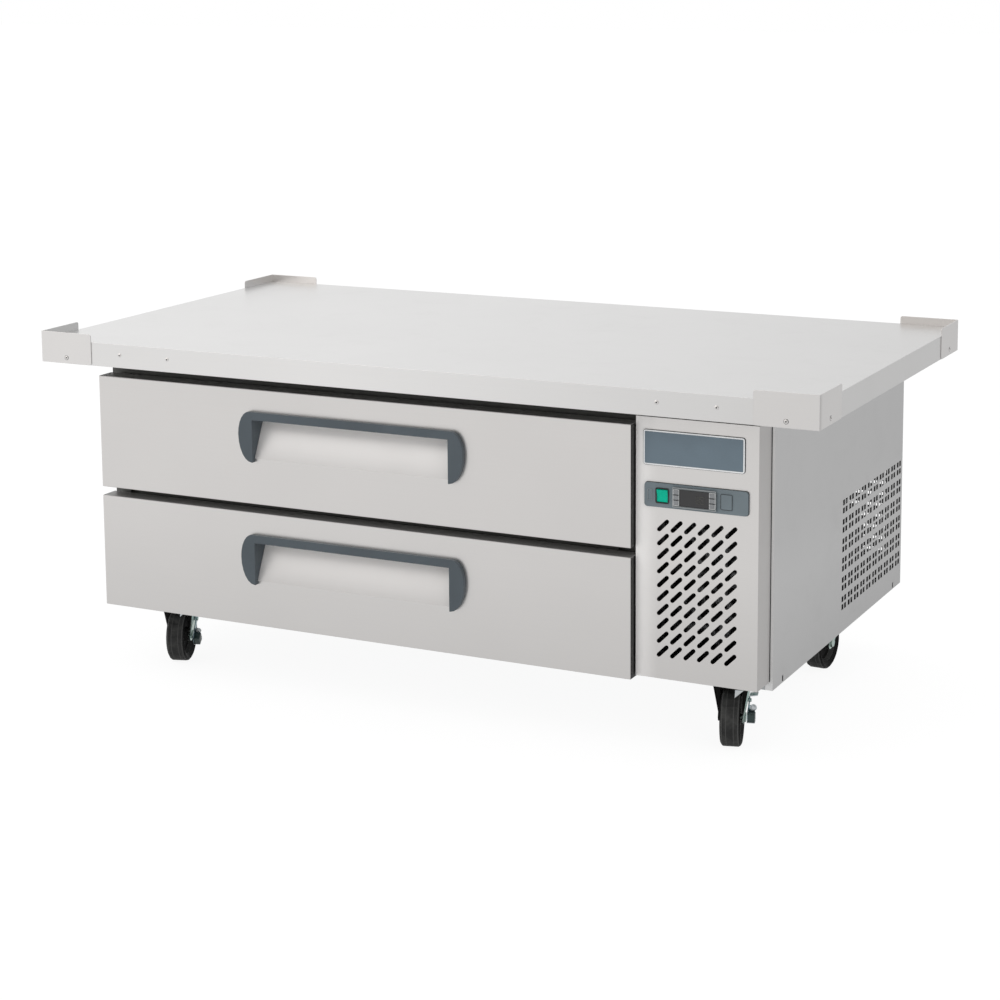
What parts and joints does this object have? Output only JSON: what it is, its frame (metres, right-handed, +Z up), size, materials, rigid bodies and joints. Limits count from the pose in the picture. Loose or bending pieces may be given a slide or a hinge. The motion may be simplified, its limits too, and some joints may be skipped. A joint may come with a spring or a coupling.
{
  "type": "refrigerated chef base",
  "caption": "Low refrigerated kitchen base with a steel worktop, insulated pan drawers, a louvred machine compartment and braked swivel casters.",
  "frame": {"origin": "on the floor under the middle of the worktop", "axes": "+X to the machine compartment at the right, +Y to the back, +Z up; the drawers face -Y"},
  "size_m": [1.524, 0.8128, 0.6495],
  "materials": {
    "stainless": "brushed stainless steel",
    "deck_stainless": "fine brushed stainless steel",
    "galvanised": "galvanised sheet",
    "zinc": "blue-tinted zinc plate",
    "aluminium": "mill-finish aluminium",
    "liner_aluminium": "satin aluminium",
    "slate_plastic": "slate-grey moulded plastic",
    "bezel_plastic": "grey-blue plastic",
    "badge_enamel": "slate-blue enamel, bare",
    "silver_plastic": "silver-grey plastic",
    "dark_lens": "dark display lens",
    "key_rubber": "soft grey keys",
    "switch_green": "green translucent rocker",
    "gasket_grey": "grey gasket vinyl",
    "frame_grey": "dark grey plastic facing",
    "black_paint": "satin black paint",
    "fan_plastic": "black moulded plastic",
    "tyre_rubber": "dark grip rubber"
  },
  "bodies": {
    "base": {"worktop": "deck_stainless", "guard_front_left": "stainless", "guard_front_right": "stainless", "guard_rear_left": "stainless", "guard_rear_right": "stainless", "front_frame": "frame_grey", "cabinet_body": "stainless", "cabinet_liner": "liner_aluminium", "base_tray": "galvanised", "upper_slide_fixed_left": "zinc", "upper_slide_fixed_right": "zinc", "lower_slide_fixed_left": "zinc", "lower_slide_fixed_right": "zinc", "machine_front_panel": "stainless", "name_plate": "badge_enamel", "control_bezel": "bezel_plastic", "temperature_controller": "silver_plastic", "controller_lens": "dark_lens", "side_panel": "stainless", "rear_panel": "galvanised", "condenser": "aluminium", "fan_shroud": "black_paint", "compressor": "black_paint", "evaporator_housing": "liner_aluminium", "evaporator_coil": "aluminium", "front_left_caster_plate": "zinc", "front_right_caster_plate": "zinc", "rear_left_caster_plate": "zinc", "rear_right_caster_plate": "zinc"},
    "upper_drawer": {"upper_drawer_front": "stainless", "upper_drawer_gasket": "gasket_grey", "upper_drawer_handle": "slate_plastic", "upper_pan_frame": "stainless"},
    "upper_middle_member_left": {"upper_slide_middle_left": "zinc"},
    "upper_middle_member_right": {"upper_slide_middle_right": "zinc"},
    "lower_drawer": {"lower_drawer_front": "stainless", "lower_drawer_gasket": "gasket_grey", "lower_drawer_handle": "slate_plastic", "lower_pan_frame": "stainless"},
    "lower_middle_member_left": {"lower_slide_middle_left": "zinc"},
    "lower_middle_member_right": {"lower_slide_middle_right": "zinc"},
    "rocker": {"rocker_switch": "switch_green"},
    "key_left_1": {"controller_key_left_1": "key_rubber"},
    "key_left_2": {"controller_key_left_2": "key_rubber"},
    "key_left_3": {"controller_key_left_3": "key_rubber"},
    "key_right_1": {"controller_key_right_1": "key_rubber"},
    "key_right_2": {"controller_key_right_2": "key_rubber"},
    "key_right_3": {"controller_key_right_3": "key_rubber"},
    "condenser_fan_rotor": {"condenser_fan": "fan_plastic"},
    "evaporator_fan_rotor": {"evaporator_fan": "fan_plastic"},
    "front_left_fork": {"front_left_caster_fork": "zinc"},
    "front_left_wheel": {"front_left_caster_wheel": "tyre_rubber"},
    "front_left_pedal": {"front_left_brake_pedal": "black_paint"},
    "front_right_fork": {"front_right_caster_fork": "zinc"},
    "front_right_wheel": {"front_right_caster_wheel": "tyre_rubber"},
    "front_right_pedal": {"front_right_brake_pedal": "black_paint"},
    "rear_left_fork": {"rear_left_caster_fork": "zinc"},
    "rear_left_wheel": {"rear_left_caster_wheel": "tyre_rubber"},
    "rear_right_fork": {"rear_right_caster_fork": "zinc"},
    "rear_right_wheel": {"rear_right_caster_wheel": "tyre_rubber"}
  },
  "joints": [
    {"name": "upper_drawer_slide", "type": "slide", "parent": "base", "child": "upper_drawer", "axis": [0, -1, 0], "range_m": [0, 0.5]},
    {"name": "upper_middle_slide_left", "type": "slide", "parent": "base", "child": "upper_middle_member_left", "axis": [0, -1, 0], "range_m": [0, 0.25]},
    {"name": "upper_middle_slide_right", "type": "slide", "parent": "base", "child": "upper_middle_member_right", "axis": [0, -1, 0], "range_m": [0, 0.25]},
    {"name": "lower_drawer_slide", "type": "slide", "parent": "base", "child": "lower_drawer", "axis": [0, -1, 0], "range_m": [0, 0.5]},
    {"name": "lower_middle_slide_left", "type": "slide", "parent": "base", "child": "lower_middle_member_left", "axis": [0, -1, 0], "range_m": [0, 0.25]},
    {"name": "lower_middle_slide_right", "type": "slide", "parent": "base", "child": "lower_middle_member_right", "axis": [0, -1, 0], "range_m": [0, 0.25]},
    {"name": "rocker_tilt", "type": "hinge", "parent": "base", "child": "rocker", "pos_m": [0.4782, -0.3653, 0.45], "axis": [1, 0, 0], "range_deg": [-14, 0]},
    {"name": "key_press_left_1", "type": "slide", "parent": "base", "child": "key_left_1", "axis": [0, 1, 0], "range_m": [0, 0.0005], "stiffness_N_per_m": 300},
    {"name": "key_press_left_2", "type": "slide", "parent": "base", "child": "key_left_2", "axis": [0, 1, 0], "range_m": [0, 0.0005], "stiffness_N_per_m": 300},
    {"name": "key_press_left_3", "type": "slide", "parent": "base", "child": "key_left_3", "axis": [0, 1, 0], "range_m": [0, 0.0005], "stiffness_N_per_m": 300},
    {"name": "key_press_right_1", "type": "slide", "parent": "base", "child": "key_right_1", "axis": [0, 1, 0], "range_m": [0, 0.0005], "stiffness_N_per_m": 300},
    {"name": "key_press_right_2", "type": "slide", "parent": "base", "child": "key_right_2", "axis": [0, 1, 0], "range_m": [0, 0.0005], "stiffness_N_per_m": 300},
    {"name": "key_press_right_3", "type": "slide", "parent": "base", "child": "key_right_3", "axis": [0, 1, 0], "range_m": [0, 0.0005], "stiffness_N_per_m": 300},
    {"name": "condenser_fan_spin", "type": "hinge", "parent": "base", "child": "condenser_fan_rotor", "pos_m": [0.5475, -0.21, 0.2778], "axis": [0, 1, 0], "continuous": true},
    {"name": "evaporator_fan_spin", "type": "hinge", "parent": "base", "child": "evaporator_fan_rotor", "pos_m": [0.1075, 0.3, 0.36435], "axis": [0, 1, 0], "continuous": true},
    {"name": "front_left_swivel", "type": "hinge", "parent": "base", "child": "front_left_fork", "pos_m": [-0.571, -0.2375, 0.12], "axis": [0, 0, 1], "continuous": true},
    {"name": "front_left_roll", "type": "hinge", "parent": "front_left_fork", "child": "front_left_wheel", "pos_m": [-0.5608, -0.26888, 0.05], "axis": [0.9511, 0.309, 0], "continuous": true},
    {"name": "front_left_brake", "type": "hinge", "parent": "front_left_fork", "child": "front_left_pedal", "pos_m": [-0.53495, -0.25733, 0.08], "axis": [0.9511, 0.309, 0], "range_deg": [-30, 0]},
    {"name": "front_right_swivel", "type": "hinge", "parent": "base", "child": "front_right_fork", "pos_m": [0.559, -0.2375, 0.12], "axis": [0, 0, 1], "continuous": true},
    {"name": "front_right_roll", "type": "hinge", "parent": "front_right_fork", "child": "front_right_wheel", "pos_m": [0.56754, -0.26938, 0.05], "axis": [0.9659, 0.2588, 0], "continuous": true},
    {"name": "front_right_brake", "type": "hinge", "parent": "front_right_fork", "child": "front_right_pedal", "pos_m": [0.59396, -0.25919, 0.08], "axis": [0.9659, 0.2588, 0], "range_deg": [0, 30]},
    {"name": "rear_left_swivel", "type": "hinge", "parent": "base", "child": "rear_left_fork", "pos_m": [-0.561, 0.24, 0.12], "axis": [0, 0, 1], "continuous": true},
    {"name": "rear_left_roll", "type": "hinge", "parent": "rear_left_fork", "child": "rear_left_wheel", "pos_m": [-0.55755, 0.20718, 0.05], "axis": [0.9945, 0.1045, 0], "continuous": true},
    {"name": "rear_right_swivel", "type": "hinge", "parent": "base", "child": "rear_right_fork", "pos_m": [0.569, 0.24, 0.12], "axis": [0, 0, 1], "continuous": true},
    {"name": "rear_right_roll", "type": "hinge", "parent": "rear_right_fork", "child": "rear_right_wheel", "pos_m": [0.56698, 0.20706, 0.05], "axis": [0.9981, -0.061, 0], "continuous": true}
  ],
  "couplings": [
    {"joint": "upper_middle_slide_left", "follows": "upper_drawer_slide", "ratio": 0.5},
    {"joint": "upper_middle_slide_right", "follows": "upper_drawer_slide", "ratio": 0.5},
    {"joint": "lower_middle_slide_left", "follows": "lower_drawer_slide", "ratio": 0.5},
    {"joint": "lower_middle_slide_right", "follows": "lower_drawer_slide", "ratio": 0.5}
  ]
}
